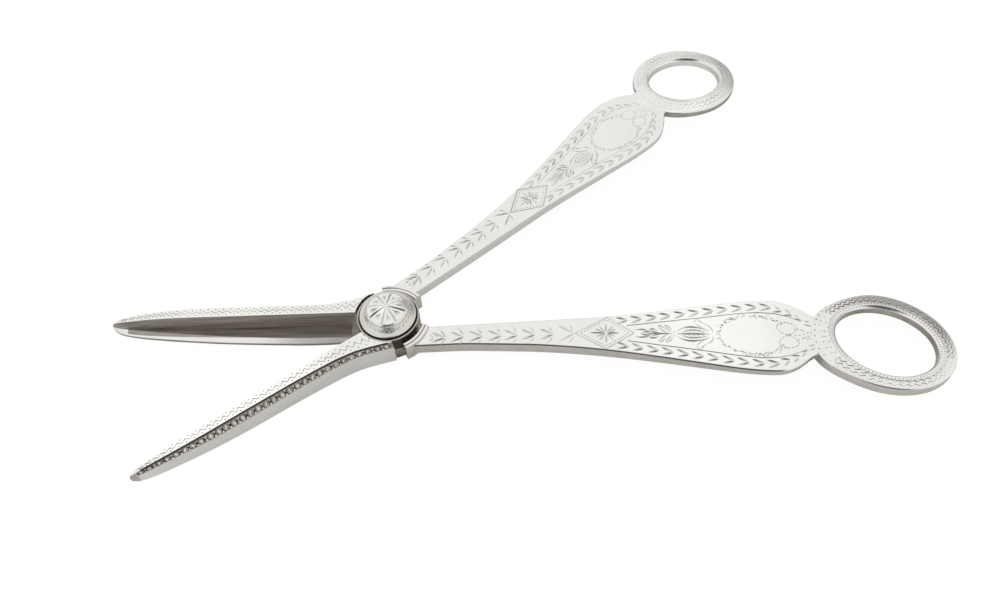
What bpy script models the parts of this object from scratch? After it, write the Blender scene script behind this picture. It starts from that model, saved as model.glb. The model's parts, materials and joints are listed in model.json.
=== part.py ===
# Silver grape shears, laid open as in the photograph.
# Metres, +Z up.  The pivot axis is Z through the origin and the joint stands on z = 0.
# The bisector of the open shears is the X axis: blades towards -X, handles towards +X.
import math

import bmesh
import bpy

# Driving dimensions

# Joint: two half-lapped round plates
JOINT_HEIGHT = 0.0070
DRUM_RADIUS = 0.0070
LAP_GAP = 0.0002
RUNNING_GAP = 0.0002
SOLDER_GAP = 0.00005
BOSS_RECESS_DEPTH = 0.0007
RIM_WALL = 0.00035
BOSS_MOAT = 0.0006

# Pivot
PIN_RADIUS = 0.0016
PIN_HEAD_RADIUS = 0.0026
PIN_HEAD_HEIGHT = 0.0008
WASHER_RADIUS = 0.0034
WASHER_HEIGHT = 0.0006
BOSS_WALL_TOP = 0.0077
BOSS_APEX = 0.0106
PIN_IN_BOSS = 0.0020

# Opening of the shears: each blade stands this far from the closed position
CUTTING_OPENING = math.radians(14.8)
CHANNEL_OPENING = math.radians(20.6)

# Blades, measured along each blade from the pivot: (place, size) in millimetres
BLADE_START = 0.0031
BLADE_LENGTH = 0.0624
BLADE_GAP = 0.0002
BLADE_STEPS = 44
ROOT_RELIEF = 0.0006
NOSE_LENGTH = 0.0021
NOSE_STEPS = 6
NOSE_END = 0.3
CUTTING_EDGE = ((3.1, 0.2), (8, 0.2), (20, 0), (45, 0), (52, 0.1), (56, 0.5), (59, 0.95), (61.2, 1.35),
                (62.4, 1.65))
CUTTING_TOP = ((3.1, 6.55), (6, 5.45), (8, 4.7), (11, 3.75), (15, 3.1), (20, 2.75), (26, 2.55), (36, 2.4),
               (45, 2.4), (53.5, 2.25), (59.4, 2.1), (61.4, 2.0), (62.4, 1.9))
CHANNEL_WALL = ((3.1, 1.15), (45, 1.1), (54, 0.8), (58, 0.45), (61, 0.15), (62.4, 0))
CHANNEL_TOP = ((3.1, 6.75), (6, 5.7), (8.8, 4.75), (13.3, 3.75), (20, 3.6), (42, 3.6), (50, 3.25), (55, 2.6),
               (58, 2.0), (61, 1.1), (62.4, 0.5))
COVE_WIDTH = ((3.1, 0.6), (8, 0.65), (15, 0.8), (26, 0.95), (36, 1.1), (45, 0.95), (54, 0.55), (60, 0.35),
              (62.4, 0.25))
COVE_DEPTH = ((3.1, 1.5), (8, 1.55), (15, 1.75), (26, 1.9), (45, 1.8), (54, 1.4), (60, 1.0), (62.4, 0.7))
BLADE_BOTTOM = ((3.1, 0), (16, 0), (28, 0.4), (37, 0.75), (46, 1.35), (55, 2.2), (59, 3.0), (61.5, 3.9),
                (62.4, 4.4))
FLOOR_TOP = ((3.1, 1.4), (16, 1.4), (28, 1.7), (37, 1.95), (46, 2.5), (55, 3.3), (59, 4.1), (61.5, 5.0),
             (62.4, 5.4))
FLOOR_REACH = ((3.1, 2.2), (10, 2.6), (16, 2.8), (25, 2.7), (35, 2.4), (46, 1.9), (53, 1.5), (58, 1.2),
               (61, 1.0), (62.4, 0.9))
FLOOR_BEVEL = ((3.1, 1.1), (25, 1.15), (40, 1.4), (50, 1.6), (58, 1.45), (61, 1.05), (62.4, 0.8))

# Collars: double-reeded mouldings round the joint
COLLAR_STANDOFF = 0.0006
COLLAR_WIDTH = 0.0017
COLLAR_BOTTOM = 0.0015
COLLAR_TOP = 0.0061
NEAR_COLLAR_START = math.radians(34.0)
FAR_COLLAR_START = math.radians(21.0)
COLLAR_END = math.radians(83.0)
REED_RISE = 0.0005

# Handles, measured along each handle axis
HANDLE_ANGLE = math.radians(23.5)
HANDLE_OFFSET = 0.00275
HANDLE_TOP = 0.0052
HANDLE_ROUND = 0.00025
HANDLE_STEPS = 72
HANDLE_START = 0.0050
HANDLE_STOP = 0.0990
NEAR_OUTER = ((5, 4.3), (8, 4.0), (20, 3.35), (30, 3.35), (40, 3.75), (50, 4.7), (60, 6.1), (70, 7.7),
              (78, 8.9), (84, 9.3), (87, 8.95), (90, 7.5), (92.4, 5.5), (94.2, 4.6), (99, 4.6))
NEAR_INNER = ((5, -0.6), (10, -1.2), (20, -2.1), (30, -2.95), (40, -3.75), (50, -4.7), (60, -6.1),
              (70, -7.7), (78, -8.9), (84, -9.35), (88, -9.1), (91.5, -7.4), (93.3, -6.1), (94.9, -4.9),
              (99, -4.9))
FAR_OUTER = ((5, 4.3), (8, 4.0), (20, 3.35), (30, 3.35), (40, 3.75), (50, 4.7), (60, 6.2), (70, 8.0),
             (78, 9.5), (84, 10.15), (88, 9.95), (91.5, 8.9), (93.5, 7.8), (95.4, 6.4), (99, 6.4))
FAR_INNER = ((5, -0.6), (10, -1.2), (20, -2.1), (30, -2.95), (40, -3.75), (50, -4.7), (60, -6.1),
             (70, -7.7), (78, -8.9), (84, -9.35), (88, -9.0), (91.5, -7.5), (93.7, -5.9), (95.9, -4.3),
             (99, -4.3))
HANDLE_THICKNESS = ((5, 3.1), (30, 3.1), (45, 2.95), (60, 2.55), (75, 2.1), (84, 1.95), (99, 2.2))

# Finger rings: an oval hole past the handle's end, and an outer rim with its own middle.  The rim swells
# or shrinks a little: (amount, middle and spread of the stretch)
NEAR_RING_REACH = 0.0103
NEAR_RING_ASIDE = 0.0009
NEAR_HOLE_LONG = 0.0108
NEAR_HOLE_WIDE = 0.0085
NEAR_HOLE_TURN = math.radians(20.0)
NEAR_RIM_BACK = 0.0005
NEAR_RIM_INWARD = 0.0004
NEAR_RIM_LONG = 0.01535
NEAR_RIM_WIDE = 0.0123
NEAR_RIM_TURN = math.radians(19.5)
NEAR_RIM_SWELLS = ((0.0011, math.radians(139.0), math.radians(22.0)),
                   (-0.0010, math.radians(218.0), math.radians(30.0)))
NEAR_NECK_TURN = math.radians(161.0)
NEAR_RIM_BASE = 0.0022
FAR_RING_REACH = 0.0109
FAR_RING_ASIDE = 0.0004
FAR_HOLE_LONG = 0.0097
FAR_HOLE_WIDE = 0.0079
FAR_HOLE_TURN = math.radians(-30.0)
FAR_RIM_BACK = 0.0002
FAR_RIM_INWARD = 0.0001
FAR_RIM_LONG = 0.01395
FAR_RIM_WIDE = 0.01295
FAR_RIM_TURN = math.radians(-24.5)
FAR_RIM_SWELLS = ((0.00085, math.radians(-136.0), math.radians(22.0)),
                  (-0.0004, math.radians(50.0), math.radians(40.0)))
FAR_NECK_TURN = math.radians(-157.0)
FAR_RIM_BASE = 0.0031
NECK_SPREAD = math.radians(33.0)
RING_THICKNESS = 0.0025
RING_DROP = 0.0006
RING_CHAMFER = 0.00075
RING_EDGE = 0.00015
RING_STEPS = 96

# Facets round the turned pieces
ROUND_STEPS = 96

# Levels that follow from the sizes above
LAP_LEVEL = JOINT_HEIGHT / 2
UPPER_BASE = LAP_LEVEL + LAP_GAP / 2
LOWER_TOP = LAP_LEVEL - LAP_GAP / 2
RECESS_FLOOR = JOINT_HEIGHT - BOSS_RECESS_DEPTH
RECESS_RADIUS = DRUM_RADIUS - RIM_WALL
BOSS_RADIUS = RECESS_RADIUS - BOSS_MOAT
COLLAR_INNER = DRUM_RADIUS + COLLAR_STANDOFF
COLLAR_OUTER = COLLAR_INNER + COLLAR_WIDTH
BOSS_BASE = RECESS_FLOOR + RUNNING_GAP
PIN_TOP = BOSS_BASE + PIN_IN_BOSS
RING_BASE = HANDLE_TOP - RING_THICKNESS
NEAR_RING_ALONG = HANDLE_STOP + NEAR_RING_REACH
FAR_RING_ALONG = HANDLE_STOP + FAR_RING_REACH
MM = 0.001

# A clean file with one collection for the shears and one for the cutters
for old in list(bpy.data.objects):
    bpy.data.objects.remove(old, do_unlink=True)

shears = bpy.data.collections.new("grape_shears")
bpy.context.scene.collection.children.link(shears)
cutters = bpy.data.collections.new("grape_shears_cutters")
bpy.context.scene.collection.children.link(cutters)


def smooth(table, at):
    # Value of a table of (place, size) in millimetres at a place in metres, with rounded slopes
    x = at / MM
    last = len(table) - 1
    k = 0
    while k < last - 1 and x > table[k + 1][0]:
        k += 1
    x0, y0 = table[k]
    x1, y1 = table[k + 1]
    chord = (y1 - y0) / (x1 - x0)
    before = chord
    after = chord
    if k > 0:
        before = (y1 - table[k - 1][1]) / (x1 - table[k - 1][0])
        if (y0 - table[k - 1][1]) * (y1 - y0) <= 0:
            before = 0.0
    if k + 2 <= last:
        after = (table[k + 2][1] - y0) / (table[k + 2][0] - x0)
        if (table[k + 2][1] - y1) * (y1 - y0) <= 0:
            after = 0.0
    u = min(max((x - x0) / (x1 - x0), 0.0), 1.0)
    span = x1 - x0
    a = 2 * u ** 3 - 3 * u ** 2 + 1
    b = u ** 3 - 2 * u ** 2 + u
    c = -2 * u ** 3 + 3 * u ** 2
    d = u ** 3 - u ** 2
    return (a * y0 + b * span * before + c * y1 + d * span * after) * MM


def silver(name, tone, rough):
    mat = bpy.data.materials.new(name)
    mat.use_nodes = True
    shader = mat.node_tree.nodes["Principled BSDF"]
    shader.inputs["Base Color"].default_value = (tone, tone * 0.985, tone * 0.955, 1.0)
    shader.inputs["Metallic"].default_value = 1.0
    shader.inputs["Roughness"].default_value = rough
    mat.diffuse_color = (tone, tone * 0.985, tone * 0.955, 1.0)
    return mat


def finish_mesh(name, bm, tone=0.9, rough=0.22, crease=32.0, home=shears):
    # One closed body with outward faces and its own material
    bmesh.ops.recalc_face_normals(bm, faces=bm.faces[:])
    mesh = bpy.data.meshes.new(name)
    bm.to_mesh(mesh)
    bm.free()
    obj = bpy.data.objects.new(name, mesh)
    home.objects.link(obj)
    if home is cutters:
        obj.hide_render = True
        obj.display_type = 'WIRE'
        return obj
    mesh.materials.append(silver(name + "_silver", tone, rough))
    for face in mesh.polygons:
        face.use_smooth = True
    mesh.set_sharp_from_angle(angle=math.radians(crease))
    return obj


def loft(loops, closed_path=False):
    # Skin a row of loops of equal count; the two ends are capped unless the path is closed
    bm = bmesh.new()
    rows = [[bm.verts.new(p) for p in loop] for loop in loops]
    count = len(rows[0])
    spans = len(rows) if closed_path else len(rows) - 1
    for i in range(spans):
        a = rows[i]
        b = rows[(i + 1) % len(rows)]
        for j in range(count):
            n = (j + 1) % count
            bm.faces.new((a[j], a[n], b[n], b[j]))
    if not closed_path:
        bm.faces.new(list(reversed(rows[0])))
        bm.faces.new(rows[-1])
    return bm


def turned(profile, steps=ROUND_STEPS):
    # Full turn of a closed (radius, height) profile; points on the axis are merged
    loops = []
    for i in range(steps):
        a = 2 * math.pi * i / steps
        loops.append([(r * math.cos(a), r * math.sin(a), z) for r, z in profile])
    bm = loft(loops, closed_path=True)
    bmesh.ops.remove_doubles(bm, verts=bm.verts[:], dist=1e-7)
    bmesh.ops.dissolve_degenerate(bm, edges=bm.edges[:], dist=1e-8)
    return bm


def cut(obj, cutter):
    # Exact difference, applied at once
    mod = obj.modifiers.new("cut", 'BOOLEAN')
    mod.operation = 'DIFFERENCE'
    mod.solver = 'EXACT'
    mod.object = cutter
    bpy.context.view_layer.update()
    graph = bpy.context.evaluated_depsgraph_get()
    fresh = bpy.data.meshes.new_from_object(obj.evaluated_get(graph))
    obj.modifiers.remove(mod)
    old = obj.data
    obj.data = fresh
    bpy.data.meshes.remove(old)
    fresh.name = obj.name
    bm = bmesh.new()
    bm.from_mesh(fresh)
    bmesh.ops.remove_doubles(bm, verts=bm.verts[:], dist=1e-6)
    bmesh.ops.dissolve_degenerate(bm, edges=bm.edges[:], dist=1e-7)
    bm.to_mesh(fresh)
    bm.free()
    for face in fresh.polygons:
        face.use_smooth = True
    fresh.set_sharp_from_angle(angle=math.radians(32.0))


# Round joint plates

def joint_plates():
    turned_hole = PIN_RADIUS + RUNNING_GAP
    fixed_hole = PIN_RADIUS + SOLDER_GAP
    upper = ((turned_hole, UPPER_BASE), (turned_hole, RECESS_FLOOR), (RECESS_RADIUS, RECESS_FLOOR),
             (RECESS_RADIUS, JOINT_HEIGHT), (DRUM_RADIUS, JOINT_HEIGHT), (DRUM_RADIUS, UPPER_BASE))
    finish_mesh("upper_joint_plate", turned(upper))
    seat_radius = WASHER_RADIUS + RUNNING_GAP
    seat_level = PIN_HEAD_HEIGHT + WASHER_HEIGHT + 3 * SOLDER_GAP
    lower = ((fixed_hole, seat_level), (fixed_hole, LOWER_TOP), (DRUM_RADIUS, LOWER_TOP),
             (DRUM_RADIUS, 0.0), (seat_radius, 0.0), (seat_radius, seat_level))
    finish_mesh("lower_joint_plate", turned(lower))


# Pivot pin, its washer below and the rosette boss above

def pivot_pieces():
    pin = ((0.0, 0.0), (PIN_HEAD_RADIUS, 0.0), (PIN_HEAD_RADIUS, PIN_HEAD_HEIGHT),
           (PIN_RADIUS, PIN_HEAD_HEIGHT), (PIN_RADIUS, PIN_TOP), (0.0, PIN_TOP))
    finish_mesh("pivot_pin", turned(pin, 48), tone=0.8, rough=0.3)
    base = PIN_HEAD_HEIGHT + SOLDER_GAP
    hole = PIN_RADIUS + SOLDER_GAP
    washer = ((hole, base), (WASHER_RADIUS, base), (WASHER_RADIUS, base + WASHER_HEIGHT),
              (hole, base + WASHER_HEIGHT))
    finish_mesh("tail_washer", turned(washer, 48), tone=0.8, rough=0.3)
    bore_top = PIN_TOP + SOLDER_GAP
    profile = [(0.0, bore_top), (hole, bore_top), (hole, BOSS_BASE), (BOSS_RADIUS, BOSS_BASE),
               (BOSS_RADIUS, BOSS_WALL_TOP)]
    rise = BOSS_APEX - BOSS_WALL_TOP
    for i in range(1, 10):
        a = math.radians(10.0 * i)
        profile.append((BOSS_RADIUS * math.cos(a) ** 0.8, BOSS_WALL_TOP + rise * math.sin(a)))
    profile[-1] = (0.0, BOSS_APEX)
    finish_mesh("rosette_boss", turned(profile, 64))


# Collars swept round the joint, a foot reaching the half's own plate

def collar(name, side, own_upper):
    top = COLLAR_TOP
    mid = (COLLAR_INNER + COLLAR_OUTER) / 2
    reed = (COLLAR_OUTER - COLLAR_INNER) / 4
    profile = [(COLLAR_INNER, top - REED_RISE)]
    for centre in (COLLAR_INNER + reed, COLLAR_OUTER - reed):
        for deg in (145, 118, 90, 62, 35):
            a = math.radians(deg)
            profile.append((centre + reed * math.cos(a), top - REED_RISE + REED_RISE * math.sin(a)))
        if centre < mid:
            profile.append((mid, top - REED_RISE))
    profile.append((COLLAR_OUTER, top - REED_RISE))
    profile.append((COLLAR_OUTER, COLLAR_BOTTOM))
    foot = DRUM_RADIUS + SOLDER_GAP
    clear = DRUM_RADIUS + RUNNING_GAP
    if own_upper:
        step = UPPER_BASE + LAP_GAP
        ledge = COLLAR_TOP - 2 * REED_RISE
        profile += [(clear, COLLAR_BOTTOM), (clear, step), (foot, step), (foot, ledge),
                    (COLLAR_INNER, ledge)]
    else:
        ledge = LOWER_TOP - LAP_GAP
        profile += [(foot, COLLAR_BOTTOM), (foot, ledge), (COLLAR_INNER, ledge)]
    loops = []
    steps = 24
    start = FAR_COLLAR_START if side > 0 else NEAR_COLLAR_START
    for i in range(steps + 1):
        a = side * (start + (COLLAR_END - start) * i / steps)
        loops.append([(r * math.cos(a), r * math.sin(a), z) for r, z in profile])
    finish_mesh(name, loft(loops))


# Place of a point of a handle: along its axis, aside from it (positive away from the other handle)

def handle_point(side, along, aside, z):
    c = math.cos(HANDLE_ANGLE)
    s = math.sin(HANDLE_ANGLE)
    out = aside + HANDLE_OFFSET
    return (along * c - out * s, side * (along * s + out * c), z)


def oval(centre, half, tilt, turn):
    # Point of an oval on a handle: along and aside
    x = half[0] * math.cos(turn)
    y = half[1] * math.sin(turn)
    return (centre[0] + x * math.cos(tilt) - y * math.sin(tilt),
            centre[1] + x * math.sin(tilt) + y * math.cos(tilt))


def near_turn(turn, middle, spread):
    # One at the middle of a stretch of the ring, falling smoothly to nothing
    away = math.remainder(turn - middle, 2 * math.pi)
    return math.exp(-(away / spread) ** 2)


def rim_swell(swells, turn):
    return sum(size * near_turn(turn, middle, spread) for size, middle, spread in swells)


def ring_hole(side, turn):
    if side > 0:
        return oval((FAR_RING_ALONG, FAR_RING_ASIDE), (FAR_HOLE_LONG, FAR_HOLE_WIDE), FAR_HOLE_TURN, turn)
    return oval((NEAR_RING_ALONG, NEAR_RING_ASIDE), (NEAR_HOLE_LONG, NEAR_HOLE_WIDE), NEAR_HOLE_TURN, turn)


def ring_rim(side, turn, grow=0.0):
    if side > 0:
        centre = (FAR_RING_ALONG - FAR_RIM_BACK, FAR_RING_ASIDE - FAR_RIM_INWARD)
        grow += rim_swell(FAR_RIM_SWELLS, turn)
        return oval(centre, (FAR_RIM_LONG + grow, FAR_RIM_WIDE + grow), FAR_RIM_TURN, turn)
    centre = (NEAR_RING_ALONG - NEAR_RIM_BACK, NEAR_RING_ASIDE - NEAR_RIM_INWARD)
    grow += rim_swell(NEAR_RIM_SWELLS, turn)
    return oval(centre, (NEAR_RIM_LONG + grow, NEAR_RIM_WIDE + grow), NEAR_RIM_TURN, turn)


def finger_ring(name, side):
    # The top falls away to the rim, except at the neck, where it runs level into the handle
    top = HANDLE_TOP
    low = RING_BASE
    foot = FAR_RIM_BASE if side > 0 else NEAR_RIM_BASE
    neck = FAR_NECK_TURN if side > 0 else NEAR_NECK_TURN
    e = RING_EDGE
    loops = []
    for i in range(RING_STEPS):
        turn = 2 * math.pi * i / RING_STEPS
        hole = ring_hole(side, turn)
        rim = ring_rim(side, turn)
        wide = math.hypot(rim[0] - hole[0], rim[1] - hole[1])
        drop = RING_DROP * (1.0 - min(1.2 * near_turn(turn, neck, NECK_SPREAD), 1.0))
        middle = RING_CHAMFER + 0.5 * (wide - RING_CHAMFER)
        profile = ((0.0, low + e), (0.0, top - RING_CHAMFER), (RING_CHAMFER, top),
                   (middle, top - 0.38 * drop), (wide - e, top - drop), (wide, top - drop - e),
                   (wide, foot + e), (wide - e, foot), (e, low))
        loop = []
        for reach, z in profile:
            u = reach / wide
            along = hole[0] + u * (rim[0] - hole[0])
            aside = hole[1] + u * (rim[1] - hole[1])
            loop.append(handle_point(side, along, aside, z))
        loops.append(loop)
    finish_mesh(name, loft(loops, closed_path=True))


def along_handle(table, along):
    # A handle's tables end where the handle ends, and stretch with it
    return smooth(table, along * table[-1][0] * MM / HANDLE_STOP)


def handle(name, side):
    top = HANDLE_TOP
    e = HANDLE_ROUND
    loops = []
    for i in range(HANDLE_STEPS + 1):
        along = HANDLE_START + (HANDLE_STOP - HANDLE_START) * i / HANDLE_STEPS
        out = along_handle(FAR_OUTER if side > 0 else NEAR_OUTER, along)
        inn = along_handle(FAR_INNER if side > 0 else NEAR_INNER, along)
        base = top - along_handle(HANDLE_THICKNESS, along)
        section = ((inn + e, top), (out - e, top), (out, top - e), (out, base + e), (out - e, base),
                   (inn + e, base), (inn, base + e), (inn, top - e))
        loops.append([handle_point(side, along, aside, z) for aside, z in section])
    obj = finish_mesh(name, loft(loops))
    edge = []
    for z in (0.0, top + MM):
        row = []
        for i in range(RING_STEPS):
            turn = 2 * math.pi * i / RING_STEPS
            row.append(handle_point(side, *ring_rim(side, turn, SOLDER_GAP), z))
        edge.append(row)
    cut(obj, finish_mesh(name + "_ring_seat", loft(edge), home=cutters))
    reach = COLLAR_OUTER + SOLDER_GAP
    drum = ((0.0, 0.0), (reach, 0.0), (reach, top + MM), (0.0, top + MM))
    cut(obj, finish_mesh(name + "_collar_seat", turned(drum), home=cutters))


# Place of a point of a blade: along it from the pivot, outward from the cutting line

def blade_point(side, opening, along, outward, z):
    c = math.cos(opening)
    s = math.sin(opening)
    return (-along * c + outward * s, side * (along * s + outward * c), z)


def blade(name, side, opening, has_floor):
    loops = []
    top = JOINT_HEIGHT
    start = BLADE_START + ROOT_RELIEF if has_floor else BLADE_START
    nose = BLADE_LENGTH - NOSE_LENGTH
    places = []
    for i in range(BLADE_STEPS):
        u = i / BLADE_STEPS
        places.append((start + (nose - start) * (1.2 * u - 0.2 * u * u), 1.0))
    for i in range(NOSE_STEPS + 1):
        a = math.radians(90.0) * i / NOSE_STEPS
        places.append((nose + NOSE_LENGTH * math.sin(a), NOSE_END + (1.0 - NOSE_END) * math.cos(a)))
    for along, shrink in places:
        flat = smooth(CHANNEL_TOP if has_floor else CUTTING_TOP, along)
        cove = smooth(COVE_WIDTH, along)
        drop = smooth(COVE_DEPTH, along)
        low = smooth(BLADE_BOTTOM, along)
        floor = smooth(FLOOR_TOP, along)
        reach = smooth(FLOOR_REACH, along)
        width = flat + cove
        outer = [(flat, top), (flat + 0.4 * cove, top - 0.55 * drop), (width, top - drop),
                 (width, low + 0.2 * drop), (width - 0.15 * drop, low)]
        if has_floor:
            wall = smooth(CHANNEL_WALL, along)
            edge = smooth(FLOOR_BEVEL, along)
            inner = [(-reach, low), (-reach + 0.05 * edge, low + 0.5 * (floor - low)), (-reach + edge, floor),
                     (wall, floor), (wall, top)]
        else:
            edge = smooth(CUTTING_EDGE, along)
            step = max(reach + BLADE_GAP, edge + 0.3 * (width - edge))
            under = floor + BLADE_GAP
            inner = [(step, low), (step, under), (edge, under), (edge, top)]
        section = outer + inner
        mid_n = sum(n for n, z in section) / len(section)
        mid_z = sum(z for n, z in section) / len(section)
        section = [(mid_n + (n - mid_n) * shrink, mid_z + (z - mid_z) * shrink) for n, z in section]
        loops.append([blade_point(side, opening, along, n, z) for n, z in section])
    obj = finish_mesh(name, loft(loops))
    tight = DRUM_RADIUS + SOLDER_GAP
    below = tight if has_floor else DRUM_RADIUS + RUNNING_GAP
    above = DRUM_RADIUS + ROOT_RELIEF if has_floor else tight
    over = JOINT_HEIGHT + MM
    drum = ((0.0, -MM), (below, -MM), (below, LAP_LEVEL), (above, LAP_LEVEL), (above, over), (0.0, over))
    cut(obj, finish_mesh(name + "_drum_seat", turned(drum), home=cutters))


joint_plates()
pivot_pieces()

# Lower half: blade with the floor, on the far side, and the near handle
blade("channel_blade", 1, CHANNEL_OPENING, True)
collar("lower_collar", -1, False)
handle("lower_handle", -1)
finger_ring("lower_finger_ring", -1)

# Upper half: blade that closes over the floor, on the near side, and the far handle
blade("cutting_blade", -1, CUTTING_OPENING, False)
collar("upper_collar", 1, True)
handle("upper_handle", 1)
finger_ring("upper_finger_ring", 1)
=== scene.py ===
# %% [markdown]
# # Silver grape shears: from plain solids to engraved silver
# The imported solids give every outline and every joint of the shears. Here they are treated as a
# silversmith treats forged blanks: most are welded into a clean mesh, the rings and the boss are
# turned anew, and the ornament is then cut in with V-shaped strokes, as a graver cuts real silver.

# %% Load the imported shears
import json
import math
import random

import bmesh
import bpy
from mathutils import Matrix, Vector

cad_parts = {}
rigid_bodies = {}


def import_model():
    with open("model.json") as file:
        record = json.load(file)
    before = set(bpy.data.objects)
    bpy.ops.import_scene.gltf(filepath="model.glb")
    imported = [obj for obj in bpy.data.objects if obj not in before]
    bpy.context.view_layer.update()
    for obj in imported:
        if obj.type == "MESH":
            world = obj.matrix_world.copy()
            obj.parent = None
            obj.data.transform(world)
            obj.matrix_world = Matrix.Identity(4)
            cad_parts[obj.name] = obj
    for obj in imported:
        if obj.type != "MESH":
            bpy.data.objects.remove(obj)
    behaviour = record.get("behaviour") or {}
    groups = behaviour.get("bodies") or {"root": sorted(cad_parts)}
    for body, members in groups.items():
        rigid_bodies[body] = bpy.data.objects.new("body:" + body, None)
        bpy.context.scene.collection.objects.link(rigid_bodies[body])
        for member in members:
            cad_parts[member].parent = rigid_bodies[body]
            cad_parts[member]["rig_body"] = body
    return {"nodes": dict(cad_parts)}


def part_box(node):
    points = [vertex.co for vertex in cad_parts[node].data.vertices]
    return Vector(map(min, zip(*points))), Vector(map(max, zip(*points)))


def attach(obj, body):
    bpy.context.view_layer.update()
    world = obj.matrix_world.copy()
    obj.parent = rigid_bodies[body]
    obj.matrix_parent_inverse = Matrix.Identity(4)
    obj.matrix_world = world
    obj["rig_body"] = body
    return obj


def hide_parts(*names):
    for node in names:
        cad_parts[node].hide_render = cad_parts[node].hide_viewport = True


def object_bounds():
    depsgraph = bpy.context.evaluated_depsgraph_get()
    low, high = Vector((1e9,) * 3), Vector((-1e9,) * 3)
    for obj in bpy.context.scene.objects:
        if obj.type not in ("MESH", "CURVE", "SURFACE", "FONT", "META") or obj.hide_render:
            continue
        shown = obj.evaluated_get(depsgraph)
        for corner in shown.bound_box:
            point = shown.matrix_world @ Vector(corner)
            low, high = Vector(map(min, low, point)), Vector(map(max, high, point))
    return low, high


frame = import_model()
cad_low, cad_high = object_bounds()
MM = 0.001
hand = random.Random(11)
print("solids:", sorted(frame["nodes"]))

# %% [markdown]
# ## The blanks
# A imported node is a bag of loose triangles. A copy of it is welded, and the triangles that lie in
# one plane are dissolved into one face, so that a flat top is a single polygon and a later cut
# leaves clean edges. Working on a copy keeps every piece exactly where its solid is.

# %% Weld a copy of a solid into a clean blank
WELD = 0.002 * MM
FLAT = math.radians(0.4)
SLICE_WELD = 0.0001 * MM


def blank(node):
    bm = bmesh.new()
    bm.from_mesh(frame["nodes"][node].data)
    bmesh.ops.remove_doubles(bm, verts=bm.verts[:], dist=WELD)
    bmesh.ops.dissolve_limit(bm, angle_limit=FLAT, verts=bm.verts[:], edges=bm.edges[:])
    bm.normal_update()
    return bm


def slice_faces(bm, faces, place, way):
    edges = list(dict.fromkeys(e for f in faces for e in f.edges))
    verts = list(dict.fromkeys(v for f in faces for v in f.verts))
    bmesh.ops.bisect_plane(bm, geom=verts + edges + faces, dist=SLICE_WELD, plane_co=place, plane_no=way)
    bm.normal_update()


def slice_up(bm, places, way, steep=0.9):
    # small faces keep the later cuts clean, so the faces that look up are sliced across
    for place in places:
        slice_faces(bm, [f for f in bm.faces if f.normal.z > steep], place, way)


for node in sorted(frame["nodes"]):
    low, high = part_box(node)
    print(node, "mm:", [round(v / MM, 1) for v in high - low])

# %% [markdown]
# ## The graver
# A square graver leaves a cut with a V section that enters thin, swells and leaves thin. A curve
# with a four-sided bevel has just that section, and the radius of its points makes the swelling.
# All cuts of a piece go into one curve object, which becomes one mesh of cutters. One Boolean
# then takes them out of the blank, and the faces that it leaves carry the cutters' own material.

# %% Strokes of the graver
BRIGHT, CUT, SIDE, DARK, COVE, DEEP_SHADE = range(6)
THIN_END = 0.14


def swell(count, width):
    last = count - 1
    return [0.5 * width * max(THIN_END, math.sin(math.pi * i / last)) for i in range(count)]


def leaf(a, b, width, finish=CUT):
    a, b = Vector(a), Vector(b)
    points = [a.lerp(b, u) for u in (0.0, 0.3, 0.7, 1.0)]
    return points, swell(4, width), finish


def curl(a, bend, b, width, finish=CUT, count=8):
    a, bend, b = Vector(a), Vector(bend), Vector(b)
    points = []
    for i in range(count):
        u = i / (count - 1)
        points.append(a.lerp(bend, u).lerp(bend.lerp(b, u), u))
    return points, swell(count, width), finish


def line(points, width, finish=CUT):
    return [Vector(p) for p in points], [0.5 * width] * len(points), finish


def dot(p, size, finish=CUT):
    p = Vector(p)
    half = Vector((0.55 * size * MM, 0.0, 0.0))
    return leaf(p - half, p + half, size, finish)


# %% Make the cutters of one piece
CUTTER_WELD = 0.0005 * MM


def cutters(name, strokes, finishes, shallow=1.0, level=0.0):
    curve = bpy.data.curves.new(name, 'CURVE')
    curve.dimensions = '3D'
    curve.twist_mode = 'Z_UP'
    curve.bevel_depth = MM
    curve.bevel_resolution = 0
    curve.use_fill_caps = True
    for finish in finishes:
        curve.materials.append(finish)
    for points, radii, finish in strokes:
        spline = curve.splines.new('POLY')
        spline.points.add(len(points) - 1)
        spline.material_index = finish
        for place, co, radius in zip(spline.points, points, radii):
            place.co = (*co, 1.0)
            place.radius = radius
    obj = bpy.data.objects.new(name, curve)
    bpy.context.scene.collection.objects.link(obj)
    graph = bpy.context.evaluated_depsgraph_get()
    mesh = bpy.data.meshes.new_from_object(obj.evaluated_get(graph))
    bpy.data.objects.remove(obj)
    bm = bmesh.new()
    bm.from_mesh(mesh)
    bmesh.ops.remove_doubles(bm, verts=bm.verts[:], dist=CUTTER_WELD)
    bmesh.ops.recalc_face_normals(bm, faces=bm.faces[:])
    for vert in bm.verts:
        vert.co.z = level + shallow * (vert.co.z - level)
    bm.to_mesh(mesh)
    bm.free()
    return mesh
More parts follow.
